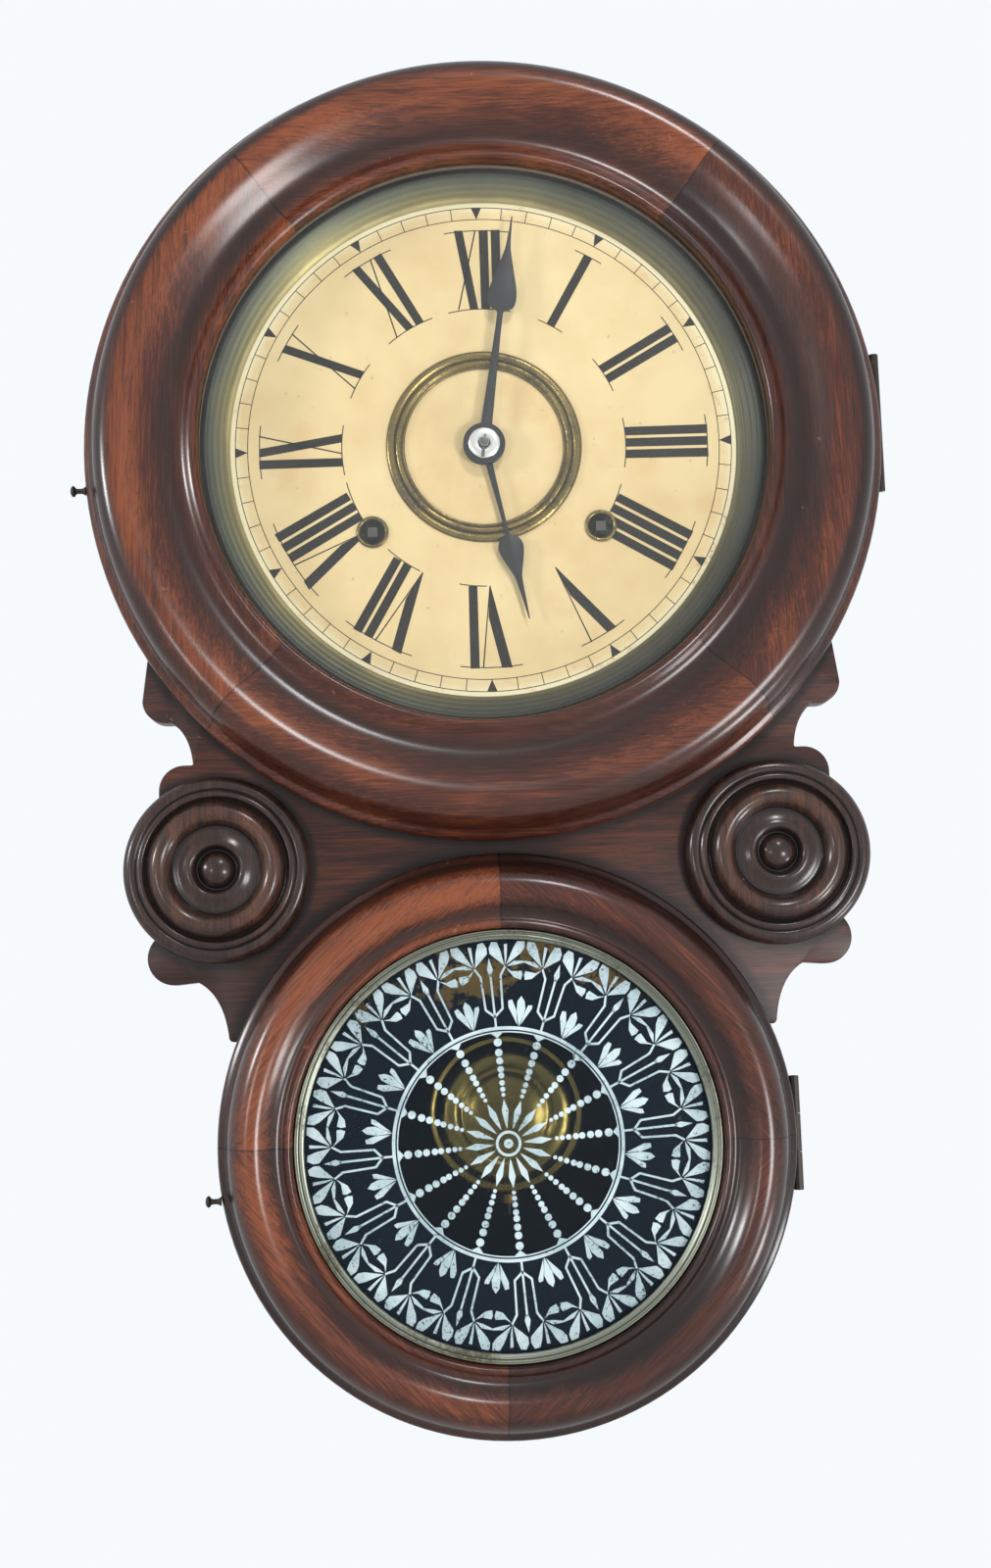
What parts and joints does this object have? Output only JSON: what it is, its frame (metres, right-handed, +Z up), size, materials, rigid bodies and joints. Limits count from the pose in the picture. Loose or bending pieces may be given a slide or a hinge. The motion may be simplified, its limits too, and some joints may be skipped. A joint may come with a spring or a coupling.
{
  "type": "wall clock",
  "caption": "Figure-eight wall clock: two round moulded doors, dial with Roman numerals, glass tablet, rosettes on scrolled ears, and a striking pendulum movement.",
  "frame": {"origin": "on the back face of the back board, behind the centre of the dial", "axes": "+X to the right seen from the front, +Y through the back face into the wall, +Z up"},
  "size_m": [0.3333, 0.104, 0.5589],
  "materials": {
    "board_wood": "dark varnished softwood",
    "ring_wood": "polished reddish-brown turned wood",
    "rosette_wood": "dark stained turned wood",
    "case_wood": "plain brown wood",
    "dial_face": "cream dial, stained",
    "brass": "worn brass",
    "old_brass": "dull olive brass",
    "steel": "bright steel",
    "dark_steel": "blackened steel",
    "black_iron": "black iron",
    "spring_steel": "blued spring steel",
    "window_glass": "clear glass",
    "putty": "hard putty"
  },
  "bodies": {
    "case": {"back_board": "case_wood", "upper_hoop": "case_wood", "lower_hoop": "case_wood", "left_waist_block": "case_wood", "right_waist_block": "case_wood", "front_board": "board_wood", "left_rosette": "rosette_wood", "right_rosette": "rosette_wood", "wall_hanger": "brass", "movement_seat": "case_wood", "dial_plate": "dial_face", "sight_ring": "old_brass", "dial_centre_ring": "brass", "left_winding_grommet": "brass", "right_winding_grommet": "brass", "gong_coil": "spring_steel", "gong_block": "black_iron", "upper_hinge_case_leaf": "dark_steel", "lower_hinge_case_leaf": "dark_steel", "movement_back_plate": "brass", "movement_front_plate": "brass", "time_mainspring": "spring_steel", "strike_mainspring": "spring_steel", "suspension_post": "brass"},
    "upper_door": {"upper_door_ring": "ring_wood", "upper_glass": "window_glass", "upper_glass_retainer": "putty", "upper_door_pull": "dark_steel", "upper_hinge_door_leaf": "dark_steel"},
    "lower_door": {"lower_door_ring": "ring_wood", "lower_glass": "window_glass", "lower_brass_ring": "old_brass", "lower_glass_retainer": "putty", "lower_door_pull": "dark_steel", "lower_hinge_door_leaf": "dark_steel"},
    "time_great": {"time_great_wheel": "brass"},
    "time_winding": {"time_winding_arbor": "steel"},
    "time_click_body": {"time_click": "steel"},
    "time_second": {"time_second_wheel": "brass"},
    "centre": {"centre_arbor": "steel", "minute_hand": "dark_steel", "hand_washer": "steel", "hand_pin": "steel"},
    "time_third": {"time_third_wheel": "brass"},
    "escape": {"escape_wheel": "brass"},
    "verge_body": {"verge": "steel"},
    "hour": {"hour_wheel": "brass", "hour_hand": "dark_steel"},
    "motion": {"motion_wheel": "brass"},
    "strike_great": {"strike_great_wheel": "brass", "count_wheel": "brass"},
    "strike_winding": {"strike_winding_arbor": "steel"},
    "strike_click_body": {"strike_click": "steel"},
    "strike_second": {"strike_second_wheel": "brass"},
    "strike_third": {"strike_third_wheel": "brass"},
    "fly_body": {"fly": "brass"},
    "hammer_body": {"hammer": "steel"},
    "pendulum": {"pendulum_rod": "steel"},
    "bob": {"pendulum_bob": "brass"},
    "nut": {"rating_nut": "brass"}
  },
  "joints": [
    {"name": "upper_door_hinge", "type": "hinge", "parent": "case", "child": "upper_door", "pos_m": [0.1628, -0.07817, 0.0057], "axis": [0, 0, 1], "range_deg": [0, 110]},
    {"name": "lower_door_hinge", "type": "hinge", "parent": "case", "child": "lower_door", "pos_m": [0.1146, -0.07817, -0.2825], "axis": [0, 0, 1], "range_deg": [0, 110]},
    {"name": "centre_turn", "type": "hinge", "parent": "case", "child": "centre", "pos_m": [0, -0.042, 0], "axis": [0, 1, 0], "continuous": true},
    {"name": "hour_turn", "type": "hinge", "parent": "case", "child": "hour", "pos_m": [0, -0.056, 0], "axis": [0, 1, 0], "continuous": true},
    {"name": "motion_turn", "type": "hinge", "parent": "case", "child": "motion", "pos_m": [0.01, -0.054, -0.01732], "axis": [0, 1, 0], "continuous": true},
    {"name": "time_second_turn", "type": "hinge", "parent": "case", "child": "time_second", "pos_m": [0.03923, -0.042, -0.00359], "axis": [0, 1, 0], "continuous": true},
    {"name": "time_great_turn", "type": "hinge", "parent": "case", "child": "time_great", "pos_m": [0.04675, -0.038, -0.0347], "axis": [0, 1, 0], "continuous": true},
    {"name": "time_third_turn", "type": "hinge", "parent": "case", "child": "time_third", "pos_m": [0.02063, -0.03, 0.0136], "axis": [0, 1, 0], "continuous": true},
    {"name": "escape_turn", "type": "hinge", "parent": "case", "child": "escape", "pos_m": [0, -0.046, 0.02], "axis": [0, 1, 0], "continuous": true},
    {"name": "time_winding_turn", "type": "hinge", "parent": "time_great", "child": "time_winding", "pos_m": [0.04675, -0.04, -0.0347], "axis": [0, 1, 0], "continuous": true},
    {"name": "time_click_lift", "type": "hinge", "parent": "time_great", "child": "time_click_body", "pos_m": [0.0497, -0.04, -0.01796], "axis": [0, -1, 0], "range_deg": [0, 10], "stiffness_Nm_per_rad": 0.002},
    {"name": "strike_second_turn", "type": "hinge", "parent": "case", "child": "strike_second", "pos_m": [-0.03805, -0.044, -0.00225], "axis": [0, 1, 0], "continuous": true},
    {"name": "strike_great_turn", "type": "hinge", "parent": "case", "child": "strike_great", "pos_m": [-0.04675, -0.038, -0.0347], "axis": [0, 1, 0], "continuous": true},
    {"name": "strike_third_turn", "type": "hinge", "parent": "case", "child": "strike_third", "pos_m": [-0.03454, -0.024, 0.0177], "axis": [0, 1, 0], "continuous": true},
    {"name": "fly_turn", "type": "hinge", "parent": "case", "child": "fly_body", "pos_m": [-0.03759, -0.038, 0.03499], "axis": [0, 1, 0], "continuous": true},
    {"name": "strike_winding_turn", "type": "hinge", "parent": "strike_great", "child": "strike_winding", "pos_m": [-0.04675, -0.04, -0.0347], "axis": [0, 1, 0], "continuous": true},
    {"name": "strike_click_lift", "type": "hinge", "parent": "strike_great", "child": "strike_click_body", "pos_m": [-0.0497, -0.04, -0.01796], "axis": [0, 1, 0], "range_deg": [0, 10], "stiffness_Nm_per_rad": 0.002},
    {"name": "hammer_lift", "type": "hinge", "parent": "case", "child": "hammer_body", "pos_m": [-0.01, -0.034, -0.02], "axis": [0, 1, 0], "range_deg": [0, 3], "stiffness_Nm_per_rad": 0.02},
    {"name": "pendulum_swing", "type": "hinge", "parent": "case", "child": "pendulum", "pos_m": [0, -0.0605, 0.042], "axis": [0, 1, 0], "range_deg": [-3.5, 3.5]},
    {"name": "verge_swing", "type": "hinge", "parent": "case", "child": "verge_body", "pos_m": [0, -0.046, 0.042], "axis": [0, 1, 0], "range_deg": [-3.5, 3.5]},
    {"name": "bob_slide", "type": "slide", "parent": "pendulum", "child": "bob", "axis": [0, 0, 1], "range_m": [-0.0015, 0.0015]},
    {"name": "rating_nut_turn", "type": "hinge", "parent": "bob", "child": "nut", "pos_m": [0, -0.0605, -0.3058], "axis": [0, 0, 1], "range_deg": [-1080, 1080]}
  ],
  "couplings": [
    {"joint": "hour_turn", "follows": "centre_turn", "ratio": 0.083333},
    {"joint": "motion_turn", "follows": "centre_turn", "ratio": -0.25},
    {"joint": "time_second_turn", "follows": "centre_turn", "ratio": -0.75},
    {"joint": "time_great_turn", "follows": "centre_turn", "ratio": 0.083333},
    {"joint": "time_third_turn", "follows": "centre_turn", "ratio": 6},
    {"joint": "escape_turn", "follows": "centre_turn", "ratio": -66},
    {"joint": "strike_great_turn", "follows": "strike_second_turn", "ratio": -0.076923},
    {"joint": "strike_third_turn", "follows": "strike_second_turn", "ratio": -7},
    {"joint": "fly_turn", "follows": "strike_second_turn", "ratio": 42},
    {"joint": "verge_swing", "follows": "pendulum_swing", "ratio": 1},
    {"joint": "rating_nut_turn", "follows": "bob_slide", "rad_per_m": 12566}
  ]
}
